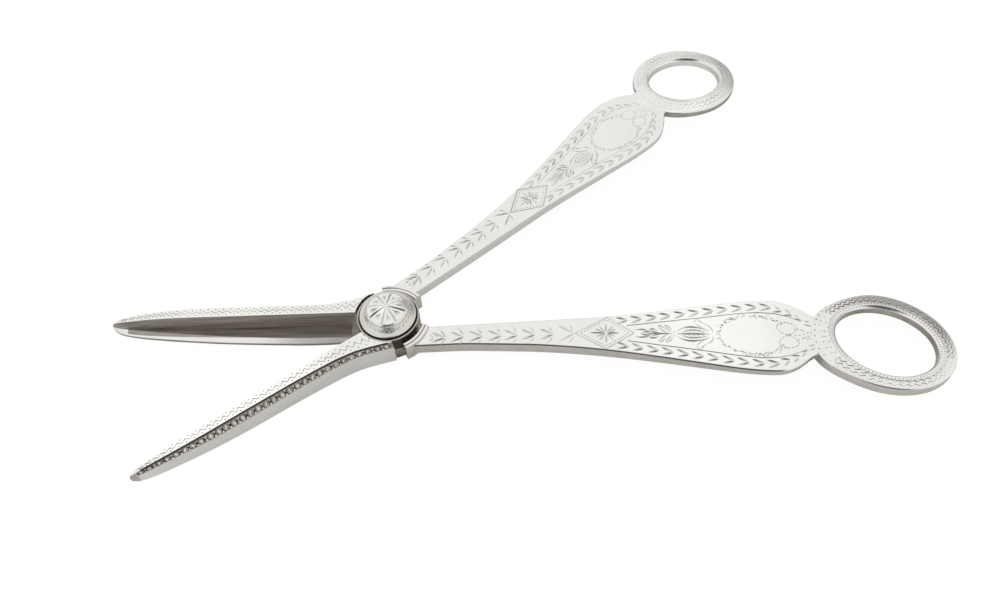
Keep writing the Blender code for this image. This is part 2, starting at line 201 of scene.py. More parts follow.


# %% [markdown]
# Every piece goes into the scene in the same way. Its Boolean is applied at once. Edges stay sharp
# where the surface turns or the finish changes. The piece then rides on the body of the solid that it
# replaces.

# %% Put a finished blank into the scene, with its cuts taken out
def engrave(piece, strokes, finishes, shallow, level):
    # the Boolean works in millimetres, where its own small tolerances suit such fine cuts
    tool_mesh = cutters(piece.name + "_cuts", strokes, finishes, shallow, level)
    tool = bpy.data.objects.new(piece.name + "_cuts", tool_mesh)
    bpy.context.scene.collection.objects.link(tool)
    grow = Matrix.Scale(1.0 / MM, 4)
    tool_mesh.transform(grow)
    piece.data.transform(grow)
    cut = piece.modifiers.new("engraving", 'BOOLEAN')
    cut.operation = 'DIFFERENCE'
    cut.solver = 'EXACT'
    cut.use_self = True
    cut.object = tool
    graph = bpy.context.evaluated_depsgraph_get()
    engraved = bpy.data.meshes.new_from_object(piece.evaluated_get(graph))
    piece.modifiers.clear()
    plain = piece.data
    piece.data = engraved
    bpy.data.objects.remove(tool)
    bpy.data.meshes.remove(plain)
    engraved.transform(Matrix.Scale(MM, 4))


def shade(mesh, crease):
    bm = bmesh.new()
    bm.from_mesh(mesh)
    limit = math.radians(crease)
    for face in bm.faces:
        face.smooth = True
    for edge in bm.edges:
        turned = edge.calc_face_angle(0.0) > limit
        mixed = len({face.material_index for face in edge.link_faces}) > 1
        edge.smooth = not (turned or mixed)
    bm.to_mesh(mesh)
    bm.free()


def solid_piece(name, node, bm, finishes, strokes=(), crease=30.0, shallow=1.0, level=0.0):
    mesh = bpy.data.meshes.new(name)
    bm.to_mesh(mesh)
    bm.free()
    for finish in finishes:
        mesh.materials.append(finish)
    piece = bpy.data.objects.new(name, mesh)
    bpy.context.scene.collection.objects.link(piece)
    if strokes:
        engrave(piece, strokes, finishes, shallow, level)
    shade(piece.data, crease)
    body = frame["nodes"][node]["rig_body"]
    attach(piece, body)
    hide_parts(node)
    print(name, "faces:", len(piece.data.polygons), "cuts:", len(strokes), "rides on", body)


# %% [markdown]
# ## Silver
# Old silver is not one colour: a soft grey film drifts over it, and the cuts hold dark polish. The
# sides and the hollows get darker colours as well, which are painted shade. One node group gives the
# drifting film and the fine scratches of two hundred years of polishing, and each finish uses it with
# its own values. The film lies in clouds, but inside the channel blade the cloth only runs lengthwise
# and leaves streaks.

# %% Node group: film and polishing scratches
CHANNEL_ANGLE = math.radians(20.6)
CLOUDED = (7.1 * MM, 7.1 * MM, 7.1 * MM)
STREAKED = (22.0 * MM, 0.5 * MM, 0.8 * MM)
SCRATCHES_PER_METRE = (500.0, 9000.0, 2500.0)
SCRATCH_TURN = (0.0, 0.0, 0.5)
SCRATCH_DEPTH = 0.01 * MM


def patina_group():
    group = bpy.data.node_groups.new("silver_patina", 'ShaderNodeTree')
    face = group.interface
    for label in ("Clean", "Film"):
        face.new_socket(label, in_out='INPUT', socket_type='NodeSocketColor')
    face.new_socket("Film Grain", in_out='INPUT', socket_type='NodeSocketVector')
    for label, value in (("Film Amount", 0.3), ("Roughness", 0.2), ("Scratches", 0.2)):
        socket = face.new_socket(label, in_out='INPUT', socket_type='NodeSocketFloat')
        socket.default_value = value
    face.new_socket("Color", in_out='OUTPUT', socket_type='NodeSocketColor')
    face.new_socket("Roughness", in_out='OUTPUT', socket_type='NodeSocketFloat')
    face.new_socket("Height", in_out='OUTPUT', socket_type='NodeSocketFloat')
    nodes, links = group.nodes, group.links
    given = nodes.new('NodeGroupInput')
    out = nodes.new('NodeGroupOutput')
    where = nodes.new('ShaderNodeTexCoord')

    grain = nodes.new('ShaderNodeMapping')
    grain.vector_type = 'TEXTURE'
    grain.inputs["Rotation"].default_value = (0.0, 0.0, -CHANNEL_ANGLE)
    links.new(where.outputs["Object"], grain.inputs["Vector"])
    links.new(given.outputs["Film Grain"], grain.inputs["Scale"])
    film = nodes.new('ShaderNodeTexNoise')
    film.inputs["Scale"].default_value = 1.0
    film.inputs["Detail"].default_value = 4.0
    film.inputs["Roughness"].default_value = 0.6
    links.new(grain.outputs["Vector"], film.inputs["Vector"])
    drift = nodes.new('ShaderNodeMapRange')
    drift.inputs["From Min"].default_value = 0.35
    drift.inputs["From Max"].default_value = 0.7
    links.new(film.outputs["Fac"], drift.inputs["Value"])
    amount = nodes.new('ShaderNodeMath')
    amount.operation = 'MULTIPLY'
    links.new(drift.outputs["Result"], amount.inputs[0])
    links.new(given.outputs["Film Amount"], amount.inputs[1])
    tint = nodes.new('ShaderNodeMix')
    tint.data_type = 'RGBA'
    links.new(amount.outputs[0], tint.inputs["Factor"])
    links.new(given.outputs["Clean"], tint.inputs["A"])
    links.new(given.outputs["Film"], tint.inputs["B"])
    links.new(tint.outputs["Result"], out.inputs["Color"])

    stretch = nodes.new('ShaderNodeMapping')
    stretch.inputs["Rotation"].default_value = SCRATCH_TURN
    stretch.inputs["Scale"].default_value = SCRATCHES_PER_METRE
    links.new(where.outputs["Object"], stretch.inputs["Vector"])
    scratch = nodes.new('ShaderNodeTexNoise')
    scratch.inputs["Scale"].default_value = 1.0
    scratch.inputs["Detail"].default_value = 2.0
    links.new(stretch.outputs["Vector"], scratch.inputs["Vector"])
    links.new(scratch.outputs["Fac"], out.inputs["Height"])
    wear_and_shade = nodes.new('ShaderNodeMath')
    wear_and_shade.operation = 'MULTIPLY'
    links.new(scratch.outputs["Fac"], wear_and_shade.inputs[0])
    links.new(given.outputs["Scratches"], wear_and_shade.inputs[1])
    total = nodes.new('ShaderNodeMath')
    total.operation = 'ADD'
    links.new(wear_and_shade.outputs[0], total.inputs[0])
    links.new(given.outputs["Roughness"], total.inputs[1])
    links.new(total.outputs[0], out.inputs["Roughness"])
    return group


PATINA = patina_group()
print("sockets of the patina:", [item.name for item in PATINA.interface.items_tree])

# %% [markdown]
# Six finishes cover the shears. The bright open faces and the cuts have the silver's own colours.
# The other four paint shade: grey for the sides, dark for hollows and recesses (in the channel
# together with its tarnish), a mid grey for inner walls and other faces turned from the light, and
# the deepest shade for the darkest recesses. Each is bare metal with a clean colour, the colour and
# amount of its film, its roughness, its scratches and their bump.

# %% The finishes
def silver(name, clean, film, amount, roughness, scratches, bump, grain=CLOUDED):
    finish = bpy.data.materials.new(name)
    finish.use_nodes = True
    nodes, links = finish.node_tree.nodes, finish.node_tree.links
    shader = nodes["Principled BSDF"]
    shader.inputs["Metallic"].default_value = 1.0
    aged = nodes.new('ShaderNodeGroup')
    aged.node_tree = PATINA
    aged.inputs["Clean"].default_value = (*clean, 1.0)
    aged.inputs["Film"].default_value = (*film, 1.0)
    aged.inputs["Film Grain"].default_value = grain
    aged.inputs["Film Amount"].default_value = amount
    aged.inputs["Roughness"].default_value = roughness
    aged.inputs["Scratches"].default_value = scratches
    links.new(aged.outputs["Color"], shader.inputs["Base Color"])
    links.new(aged.outputs["Roughness"], shader.inputs["Roughness"])
    relief = nodes.new('ShaderNodeBump')
    relief.inputs["Strength"].default_value = bump
    relief.inputs["Distance"].default_value = SCRATCH_DEPTH
    links.new(aged.outputs["Height"], relief.inputs["Height"])
    links.new(relief.outputs["Normal"], shader.inputs["Normal"])
    return finish


# bright and cut are the silver's own colours; the side, dark, cove and deepest finishes are painted shade
FINISHES = (
    silver("bright_silver", (0.96, 0.955, 0.925), (0.87, 0.855, 0.8), 0.45, 0.12, 0.12, 0.25),
    silver("cut_silver", (0.82, 0.81, 0.77), (0.52, 0.5, 0.45), 0.55, 0.2, 0.15, 0.1),
    silver("shaded_side_silver", (0.8, 0.785, 0.735), (0.64, 0.62, 0.56), 0.6, 0.22, 0.06, 0.04),
    silver("dark_silver", (0.54, 0.5, 0.45), (0.16, 0.143, 0.126), 0.75, 0.3, 0.2, 0.3, STREAKED),
    silver("cove_silver", (0.62, 0.6, 0.55), (0.3, 0.28, 0.25), 0.8, 0.25, 0.08, 0.1),
    silver("deep_shade_silver", (0.13, 0.115, 0.1), (0.045, 0.04, 0.035), 0.7, 0.45, 0.2, 0.3),
)
print("finishes:", [finish.name for finish in FINISHES])

# %% [markdown]
# ## The handles
# Each handle is a flat paddle that widens towards its finger ring. Its ornament is laid out along
# the handle's own axis, so the places below are in millimetres along it from the pivot and aside
# from it. Both handles use the same drawing, mirrored by the side that they are on.

# %% Places on a handle
HANDLE_ANGLE = math.radians(23.5)
HANDLE_OFFSET = 2.75
HANDLE_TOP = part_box("lower_handle")[1].z
NEAR, FAR = -1, 1


def on_handle(side, along, aside):
    c, s = math.cos(HANDLE_ANGLE), math.sin(HANDLE_ANGLE)
    out = aside + HANDLE_OFFSET
    return Vector(((along * c - out * s) * MM, side * (along * s + out * c) * MM, HANDLE_TOP))


def between(table, at):
    # straight steps through (place, size) pairs
    for (x0, y0), (x1, y1) in zip(table, table[1:]):
        if at <= x1:
            return y0 + (y1 - y0) * max(0.0, (at - x0) / (x1 - x0))
    return table[-1][1]


def shake(amount=0.07):
    # no two strokes of a hand are quite the same
    return hand.uniform(-amount, amount)


print("top of the handles, mm:", round(HANDLE_TOP / MM, 2))

# %% [markdown]
# The stem of the handle carries a row of laurel chevrons that point at the ring. Each chevron is
# two leaf cuts that nearly meet, with a short tick outside each of them. A pair of leaf strokes is
# what a graver gives in two pushes, so each cut here is one stroke too.

# %% Laurel chevrons along the stem
STEM_TIPS = (12.9, 17.1, 21.2, 25.4, 29.0, 32.8, 36.9)
CHEVRON_LONG = 2.9
CHEVRON_HALF = 1.35
ROOT_TICKS = 4
ROOT_START = 9.6
ROOT_PITCH = 0.95
ROOT_MIDDLE = 1.9


def stem_middle(along):
    # the row drifts to the handle's axis on its way to the ring
    return 1.6 - 0.055 * (along - 17.0)


def stem_cuts(side):
    cuts = []
    for tip in STEM_TIPS:
        middle = stem_middle(tip)
        for way in (1, -1):
            cuts.append(leaf(on_handle(side, tip - CHEVRON_LONG + shake(),
                                       middle + way * (CHEVRON_HALF + shake())),
                             on_handle(side, tip, middle + way * 0.1), 0.66))
            cuts.append(leaf(on_handle(side, tip - 0.95, middle + way * (2.0 + shake())),
                             on_handle(side, tip - 0.1, middle + way * 0.75), 0.42))
            cuts.append(dot(on_handle(side, tip - 1.2, middle + way * 2.3), 0.3))
    for k in range(ROOT_TICKS):
        for way in (1, -1):
            start = ROOT_START + ROOT_PITCH * k
            cuts.append(leaf(on_handle(side, start, ROOT_MIDDLE + way * (0.75 + 0.2 * (k % 2))),
                             on_handle(side, start + 0.8, ROOT_MIDDLE + way * 0.25), 0.36))
    return cuts


print("chevrons on a stem:", len(STEM_TIPS))

# %% [markdown]
# Next comes a lozenge with a double border, filled with a starburst. The border is a line with a
# row of short ticks inside it, which a hand can space better than a second line. Two longer leaf
# cuts meet its corner at the pivot end, as the last chevron.

# %% Lozenge with a starburst
LOZENGE = ((41.8, 0.2), (48.5, 4.2), (54.7, -0.1), (48.9, -4.2))
STAR = (48.6, 0.0)
STAR_RAYS = ((0, 2.9), (24, 2.3), (50, 2.5), (90, 2.6), (130, 2.5), (156, 2.6), (180, 3.6), (204, 2.5),
             (230, 2.4), (270, 2.6), (310, 2.4), (336, 2.3))
LOZENGE_INSET = 0.17
LOZENGE_TICKS = 9
STAR_HOLE = 0.3


def lozenge_cuts(side):
    cuts = []
    corners = [Vector(corner) for corner in LOZENGE]
    middle = sum(corners, Vector((0.0, 0.0))) / len(corners)
    for a, b in zip(corners, corners[1:] + corners[:1]):
        cuts.append(line([on_handle(side, *a), on_handle(side, *b)], 0.34))
        a_in, b_in = a.lerp(middle, LOZENGE_INSET), b.lerp(middle, LOZENGE_INSET)
        for k in range(LOZENGE_TICKS):
            u, v = (k + 0.2) / LOZENGE_TICKS, (k + 0.85) / LOZENGE_TICKS
            cuts.append(leaf(on_handle(side, *a_in.lerp(b_in, u)),
                             on_handle(side, *a_in.lerp(b_in, v)), 0.34))
    for way in (1, -1):
        cuts.append(leaf(on_handle(side, 38.1, 0.35 + way * 2.1),
                         on_handle(side, 41.5, 0.2 + way * 0.12), 0.66))
        cuts.append(leaf(on_handle(side, 40.5, 0.35 + way * 2.4),
                         on_handle(side, 41.3, 0.3 + way * 0.9), 0.42))
    for degrees, reach in STAR_RAYS:
        a = math.radians(degrees)
        inner = (STAR[0] + STAR_HOLE * math.cos(a), STAR[1] + STAR_HOLE * math.sin(a))
        outer = (STAR[0] + reach * math.cos(a), STAR[1] + reach * math.sin(a))
        cuts.append(leaf(on_handle(side, *inner), on_handle(side, *outer), 0.5))
    return cuts


print("rays of the star:", len(STAR_RAYS))

# %% [markdown]
# From the lozenge to the shoulder, both edges carry a border of smaller chevrons, with one fine
# line inside each border. The chevrons take their width from the room between that line and the
# edge, so the border widens with the handle. At the shoulder it turns in, as single leaf cuts.

# %% Laurel borders along both edges
EDGE = ((50, 4.7), (60, 6.1), (70, 7.7), (78, 8.9), (84, 9.35), (88, 9.0), (91.5, 7.5), (93.3, 5.9))
INNER_LINE = ((53.2, 2.0), (60, 3.0), (70, 4.4), (77, 5.5), (82, 6.0), (86, 5.75), (89, 4.9), (92, 3.5),
              (94.6, 2.3))
BORDER_FIRST = 53.4
BORDER_PITCH = 3.2
BORDER_COUNT = 11
BORDER_LONG = 2.5
LINE_START, LINE_END = 53.2, 91.6
LINE_STEPS = 27
SHOULDER = (((86.4, 7.9), (87.6, 6.5), 0.6), ((85.6, 6.2), (87.7, 6.3), 0.6),
            ((88.5, 7.0), (89.7, 5.7), 0.55), ((87.9, 5.4), (90.0, 5.3), 0.5),
            ((90.4, 5.6), (91.3, 4.4), 0.5), ((89.9, 4.4), (91.9, 4.0), 0.4),
            ((92.3, 3.9), (93.5, 3.3), 0.36), ((92.0, 2.9), (93.9, 2.3), 0.36))


def border_cuts(side):
    cuts = []
    for way in (1, -1):
        path = []
        for k in range(LINE_STEPS + 1):
            along = LINE_START + (LINE_END - LINE_START) * k / LINE_STEPS
            path.append(on_handle(side, along, way * between(INNER_LINE, along)))
        cuts.append(line(path, 0.26))
        for k in range(BORDER_COUNT):
            tip = BORDER_FIRST + BORDER_PITCH * k + shake()
            tail = tip - BORDER_LONG
            half = min(1.0, 0.24 * (between(EDGE, tail) - between(INNER_LINE, tail)) + 0.15)
            at_tip = 0.5 * (between(EDGE, tip) + between(INNER_LINE, tip)) - 0.1
            at_tail = 0.5 * (between(EDGE, tail) + between(INNER_LINE, tail)) - 0.1
            for arm in (1, -1):
                cuts.append(leaf(on_handle(side, tail + shake(), way * (at_tail + arm * half)),
                                 on_handle(side, tip, way * (at_tip + arm * 0.12)), 0.66))
        for start, stop, width in SHOULDER:
            cuts.append(leaf(on_handle(side, start[0], way * start[1]),
                             on_handle(side, stop[0], way * stop[1]), width))
    return cuts


print("chevrons in a border:", BORDER_COUNT, "and cuts at its shoulder:", len(SHOULDER))

# %% [markdown]
# Between the borders a frond grows out of the lozenge into a bellflower, whose two outer petals
# curl back. Both are drawn as curved strokes on one side of the axis and mirrored to the other.

# %% Frond and bellflower
FROND = (((60.9, 0.15), (59.2, 0.15), (57.9, 1.0)), ((57.9, 1.0), (58.7, 1.5), (60.2, 0.75)),
         ((62.3, 0.2), (60.6, 0.7), (60.0, 2.2)), ((60.0, 2.2), (60.9, 2.2), (61.7, 0.95)),
         ((63.1, 0.35), (62.0, 1.0), (61.5, 2.3)), ((61.5, 2.3), (62.5, 2.2), (63.2, 0.8)),
         ((56.1, 0.0), (57.2, 0.75), (58.8, 0.2)), ((54.9, 0.9), (57.0, 1.3), (58.2, 0.55)))
FLOWER = (((63.9, 0.5), (66.6, 3.1), (71.2, 0.75), 0.5), ((64.9, 0.35), (67.2, 1.75), (70.9, 0.4), 0.34),
          ((71.9, 0.1), (72.2, 2.0), (70.0, 2.8), 0.4), ((70.2, 2.75), (69.3, 3.2), (68.9, 4.2), 0.4),
          ((71.2, 0.9), (68.8, 1.9), (68.1, 3.3), 0.34))
PETAL_VEINS = 5


def flower_cuts(side):
    def at(along, aside):
        return on_handle(side, along, aside)

    cuts = [leaf(at(57.4, 0.0), at(63.2, 0.0), 0.46)]
    for start, bend, stop in FROND:
        for way in (1, -1):
            cuts.append(curl(at(start[0], way * start[1]), at(bend[0] + shake(0.15), way * bend[1]),
                             at(stop[0], way * stop[1]), 0.44))
    cuts.append(leaf(at(64.0, 0.0), at(71.4, 0.0), 0.5))
    for way in (1, -1):
        for start, bend, stop, width in FLOWER:
            cuts.append(curl(at(start[0], way * start[1]), at(bend[0], way * bend[1]),
                             at(stop[0], way * stop[1]), width))
        cuts.append(leaf(at(68.9, way * 4.2), at(68.0, way * 3.2), 0.3))
        for k in range(PETAL_VEINS):
            cuts.append(leaf(at(65.4 + 1.0 * k, way * 0.25), at(66.5 + 1.0 * k, way * 0.85), 0.2))
        cuts.append(dot(at(63.5, way * 0.5), 0.36))
    cuts += [dot(at(72.7, 0.0), 0.36), dot(at(73.4, 0.9), 0.36), dot(at(73.4, -0.9), 0.3)]
    return cuts


print("curls of the frond:", 2 * len(FROND), "and of the flower:", 2 * len(FLOWER))

# %% [markdown]
# The widest part holds a plain oval cartouche inside a wreath of tiny cuts, tied at the ring end
# with a bow. Dots fill the neck. The wreath's cuts lean and swell at random, as quick small strokes
# of a real hand do, while the bow follows its own outline.

# %% Cartouche, bow and neck
CARTOUCHE = (80.7, 0.0)
CARTOUCHE_SIZE = (7.2, 5.0)
WREATH_CUTS = 58
BOW = ((88.4, -0.2), (86.6, 0.9), (85.9, 2.1), (86.7, 3.2), (88.2, 3.4), (89.8, 2.9), (90.4, 1.9),
       (89.7, 0.8), (88.6, 0.1))
NECK_DOTS = 7
AXIS_DOTS = 5


def cartouche_cuts(side):
    def oval(turn, spread):
        return on_handle(side, CARTOUCHE[0] + (CARTOUCHE_SIZE[0] + spread) * math.cos(turn),
                         CARTOUCHE[1] + (CARTOUCHE_SIZE[1] + spread) * math.sin(turn))

    cuts = []
    step = 2 * math.pi / WREATH_CUTS
    for k in range(WREATH_CUTS):
        turn = step * (k + shake(0.3))
        if abs(math.sin(turn)) < 0.45 and math.cos(turn) > 0:
            continue
        inner, outer = -0.1 + shake(0.25), 0.5 + shake(0.35)
        lean = step * shake(0.9)
        cuts.append(leaf(oval(turn - lean, inner), oval(turn + lean, outer), 0.34 + shake(0.1)))
        if hand.random() < 0.45:
            cuts.append(leaf(oval(turn, inner), oval(turn + 0.8 * step, inner + shake(0.3)), 0.28))
        if hand.random() < 0.4:
            cuts.append(dot(oval(turn + 0.4 * step, 0.7 + shake(0.3)), 0.34))
    for way in (1, -1):
        for (s0, t0), (s1, t1) in zip(BOW, BOW[1:]):
            for u, v in ((0.05, 0.5), (0.55, 0.98)):
                cuts.append(leaf(on_handle(side, s0 + (s1 - s0) * u, way * (t0 + (t1 - t0) * u)),
                                 on_handle(side, s0 + (s1 - s0) * v, way * (t0 + (t1 - t0) * v)), 0.3))
        for k in range(NECK_DOTS):
            cuts.append(dot(on_handle(side, 89.9 + 0.62 * k + shake(0.2), way * (1.1 + shake(0.5))), 0.4))
    cuts.append(dot(on_handle(side, 88.4, 0.0), 0.75))
    for k in range(AXIS_DOTS):
        cuts.append(dot(on_handle(side, 89.8 + 0.9 * k, shake(0.3)), 0.42))
    return cuts


print("cartouche, mm:", [2 * half for half in CARTOUCHE_SIZE])

# %% [markdown]
# Now both handles can be made. Their tops are sliced into small faces before the cutting, because
# a Boolean leaves poor faces on a wide one with hundreds of cuts. The near handle's walls, which face
# the tent's dark opening, get the grey side finish as painted shade, and the far one's stay bright.

# %% Make both handles
GROOVE = 0.75
SLICES_ALONG = [6.13 + 2.57 * k for k in range(36)]
SLICES_ASIDE = [0.31 + 3.1 * k for k in range(-3, 4)]


def make_handle(node, side):
    bm = blank(node)
    lengthwise = (on_handle(side, 1.0, 0.0) - on_handle(side, 0.0, 0.0)).normalized()
    across = (on_handle(side, 0.0, 1.0) - on_handle(side, 0.0, 0.0)).normalized()
    slice_up(bm, [on_handle(side, along, 0.0) for along in SLICES_ALONG], lengthwise)
    slice_up(bm, [on_handle(side, 50.0, aside) for aside in SLICES_ASIDE], across)
    for face in bm.faces:
        # painted shade: the near handle's walls are grey, the far handle's walls stay bright
        face.material_index = SIDE if abs(face.normal.z) < 0.5 and side == NEAR else BRIGHT
    cuts = stem_cuts(side) + lozenge_cuts(side) + border_cuts(side)
    cuts += flower_cuts(side) + cartouche_cuts(side)
    solid_piece("engraved_" + node, node, bm, FINISHES, cuts, shallow=GROOVE, level=HANDLE_TOP)


make_handle("lower_handle", NEAR)
make_handle("upper_handle", FAR)

# %% [markdown]
# ## The finger rings
# A ring is turned as a round hoop and then pressed into its oval. Here too: a profile is spun full
# circle, and every point is then moved to its place between the oval of the hole and the oval of
# the rim. The face falls away to the rim, except at the neck, where it runs level into the handle.
# It carries a row of beads round the hole, a fine line, two zigzags of wriggle work and dots.

# %% Places on a ring
# an oval is its middle on the handle, its two half sizes and its tilt; a swell its size, place and spread
HOLE = {NEAR: ((109.3, 0.9), (10.8, 8.5), 20.0), FAR: ((109.9, 0.4), (9.7, 7.9), -30.0)}
RIM = {NEAR: ((108.8, 0.5), (15.35, 12.3), 19.5), FAR: ((109.7, 0.3), (13.95, 12.95), -24.5)}
SWELLS = {NEAR: ((1.1, 139, 22), (-1.0, 218, 30)), FAR: ((0.85, -136, 22), (-0.4, 50, 40))}
NECK = {NEAR: 161.0, FAR: -157.0}
NECK_SPREAD = 33.0
FOOT = {NEAR: 2.2, FAR: 3.1}
RING_LOW = 2.7
RING_DROP = 0.6
RING_ROUND = 0.75
RING_STEPS = 144
SEAM = 0.04


def nearness(turn, middle, spread):
    away = math.remainder(turn - math.radians(middle), 2 * math.pi)
    return math.exp(-(away / math.radians(spread)) ** 2)


def on_oval(oval, turn, swell=0.0):
    (along, aside), (long, wide), tilt = oval
    x, y, tilt = (long + swell) * math.cos(turn), (wide + swell) * math.sin(turn), math.radians(tilt)
    return Vector((along + x * math.cos(tilt) - y * math.sin(tilt),
                   aside + x * math.sin(tilt) + y * math.cos(tilt)))


def ring_band(side, turn):
    swell = sum(size * nearness(turn, middle, spread) for size, middle, spread in SWELLS[side])
    swell += SEAM * nearness(turn, NECK[side], NECK_SPREAD)
    return on_oval(HOLE[side], turn), on_oval(RIM[side], turn, swell)


def on_ring(side, turn, share, offset=0.0, below=0.0, foot=None):
    # share of the way from the hole to the rim plus an offset in millimetres, on the face or the foot
    hole, rim = ring_band(side, turn)
    wide = (rim - hole).length
    reach = share * wide + offset
    place = on_handle(side, *hole.lerp(rim, reach / wide))
    if foot is None:
        u = max(0.0, (reach - RING_ROUND) / (wide - RING_ROUND))
        free = 1.0 - min(1.2 * nearness(turn, NECK[side], NECK_SPREAD), 1.0)
        if share == 1.0:
            below *= free
        place.z -= (RING_DROP * free * (0.52 * u + 0.48 * u * u) + below) * MM
    else:
        place.z = (RING_LOW + (FOOT[side] - RING_LOW) * reach / wide + foot) * MM
    return place


print("finger holes, mm:", [[2 * half for half in HOLE[side][1]] for side in (NEAR, FAR)])

# %% Spin the hoop and press it oval
HOOP = 10.0
BAND = (0.0, 0.13, 0.26, 0.4, 0.55, 0.7, 0.84)
HOOP_PROFILE = [dict(share=0.0, foot=0.15), dict(share=0.0, below=0.95),
                dict(share=0.0, offset=0.06, below=0.75), dict(share=0.0, offset=0.3, below=0.36),
                dict(share=0.0, offset=0.55, below=0.1)]
HOOP_PROFILE += [dict(share=u, offset=RING_ROUND * (1.0 - u)) for u in BAND]
HOOP_PROFILE += [dict(share=1.0, offset=-0.32), dict(share=1.0, offset=-0.1, below=0.14),
                 dict(share=1.0, below=0.36), dict(share=1.0, foot=0.15),
                 dict(share=1.0, offset=-0.15, foot=0.0), dict(share=0.0, offset=0.15, foot=0.0)]


def pressed_hoop(side):
    bm = bmesh.new()
    verts = [bm.verts.new((HOOP, 0.0, float(row))) for row in range(len(HOOP_PROFILE))]
    edges = [bm.edges.new(pair) for pair in zip(verts, verts[1:] + verts[:1])]
    bmesh.ops.spin(bm, geom=verts + edges, cent=(0, 0, 0), axis=(0, 0, 1), angle=2 * math.pi,
                   steps=RING_STEPS, use_merge=True)
    for vert in bm.verts:
        x, y, row = vert.co
        vert.co = on_ring(side, math.atan2(y, x), **HOOP_PROFILE[round(row)])
    bmesh.ops.recalc_face_normals(bm, faces=bm.faces[:])
    bm.normal_update()
    return bm


print("points of the hoop's profile:", len(HOOP_PROFILE))

# %% [markdown]
# Wriggle work is a zigzag: the graver is rocked from side to side as it is pushed along. Here each
# wave is one short line with three points. At the neck the zigzags give way to dots. The cuts on the
# near ring's far edge get darker finishes, painted shade where its face falls away from the light.

# %% Beads, line, zigzags and dots
ZIGZAG_COUNT = 50
ZIGZAG_ROWS = ((0.42, 0.58), (0.64, 0.8))
BEAD_COUNT = 96
LINE_POINTS = 120
RING_GROOVE = 0.8
SHADED_EDGE = Vector((0.65, 0.75, 0.0)).normalized()


def ring_cuts(side):
    def at(turn, share, offset=0.0, below=0.0):
        return on_ring(side, turn, share, offset, below)

    # painted shade: on the near ring, cuts towards its far edge get the dark and cove finishes
    def wear_and_shade(turn):
        way = (at(turn, 0.5) - on_handle(side, *HOLE[side][0])).normalized()
        facing = way.dot(SHADED_EDGE) if side == NEAR else -1.0
        if facing > 0.4:
            return 0.42, DARK
        return (0.38, COVE) if facing > 0.0 else (0.32, CUT)

    cuts = []
    step = 2 * math.pi / BEAD_COUNT
    for k in range(BEAD_COUNT):
        turn = step * k
        cuts.append(leaf(at(turn, 0.0, 0.3, 0.34), at(turn, 0.0, 1.3), 0.46, wear_and_shade(turn)[1]))
    cuts.append(line([at(2 * math.pi * k / LINE_POINTS, 0.0, 1.5) for k in range(LINE_POINTS)], 0.26))
    step = 2 * math.pi / ZIGZAG_COUNT
    for k in range(ZIGZAG_COUNT):
        turn = step * k
        width, finish = wear_and_shade(turn)
        at_neck = nearness(turn, NECK[side], NECK_SPREAD) > 0.4
        for low, high in ZIGZAG_ROWS:
            low, high = low + shake(0.015), high + shake(0.015)
            if at_neck:
                cuts.append(dot(at(turn, low + shake(0.08)), 0.4))
                continue
            wave = [at(turn - 0.04 * step, low), at(turn + 0.5 * step, high), at(turn + 1.04 * step, low)]
            cuts.append(line(wave, width, finish))
        cuts.append(dot(at(turn, 0.88), 0.44, finish))
    return cuts


def make_ring(node, side):
    bm = pressed_hoop(side)
    middle_of_hole = on_handle(side, *HOLE[side][0])
    for face in bm.faces:
        # painted shade: the near ring's outer walls get the grey side finish, and the walls of both finger
        # holes the cove finish
        face.material_index = SIDE if face.normal.z < 0.5 and side == NEAR else BRIGHT
        inward = middle_of_hole - face.calc_center_median()
        inward.z = 0.0
        if abs(face.normal.z) < 0.5 and face.normal.dot(inward) > 0.0:
            face.material_index = COVE
    solid_piece("engraved_" + node, node, bm, FINISHES, ring_cuts(side), shallow=RING_GROOVE,
                level=HANDLE_TOP)


make_ring("lower_finger_ring", NEAR)
make_ring("upper_finger_ring", FAR)

# %% [markdown]
# ## The blades
# The tops of both blades carry the same wriggle work as the rings. Below the outer edge runs a
# hollow moulding with a row of egg-shaped punch marks. The far blade is a channel: a wall and a
# floor, dark inside with tarnish and painted shade, with a bright bevel along the floor's edge. The
# blanks have these forms already, so only the strokes and the finishes are added. Places on a blade
# are in millimetres along its cutting line from the pivot, outward from that line, and down from its top.

# %% Places on a blade
OPENING = {NEAR: math.radians(14.8), FAR: CHANNEL_ANGLE}
BLADE_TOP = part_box("cutting_blade")[1].z
TOP_INNER = {NEAR: ((3.1, 0.2), (8, 0.2), (20, 0), (45, 0), (52, 0.1), (56, 0.5), (59, 0.95), (62.4, 1.65)),
             FAR: ((3.1, 1.15), (45, 1.1), (54, 0.8), (58, 0.45), (61, 0.15), (62.4, 0))}
TOP_OUTER = {NEAR: ((3.1, 6.55), (6, 5.45), (8, 4.7), (11, 3.75), (15, 3.1), (20, 2.75), (26, 2.55),
                    (36, 2.4), (45, 2.4), (53.5, 2.25), (59.4, 2.1), (62.4, 1.9)),
             FAR: ((3.1, 6.75), (6, 5.7), (8.8, 4.75), (13.3, 3.75), (20, 3.6), (42, 3.6), (50, 3.25),
                   (55, 2.6), (58, 2.0), (61, 1.1), (62.4, 0.5))}
COVE_WIDTH = ((3.1, 0.6), (8, 0.65), (15, 0.8), (26, 0.95), (36, 1.1), (45, 0.95), (54, 0.55), (60, 0.35),
              (62.4, 0.25))
COVE_DEPTH = ((3.1, 1.5), (8, 1.55), (15, 1.75), (26, 1.9), (45, 1.8), (54, 1.4), (60, 1.0), (62.4, 0.7))


def on_blade(side, along, outward, drop=0.0):
    c, s = math.cos(OPENING[side]), math.sin(OPENING[side])
    return Vector(((-along * c + outward * s) * MM, side * (along * s + outward * c) * MM,
                   BLADE_TOP - drop * MM))


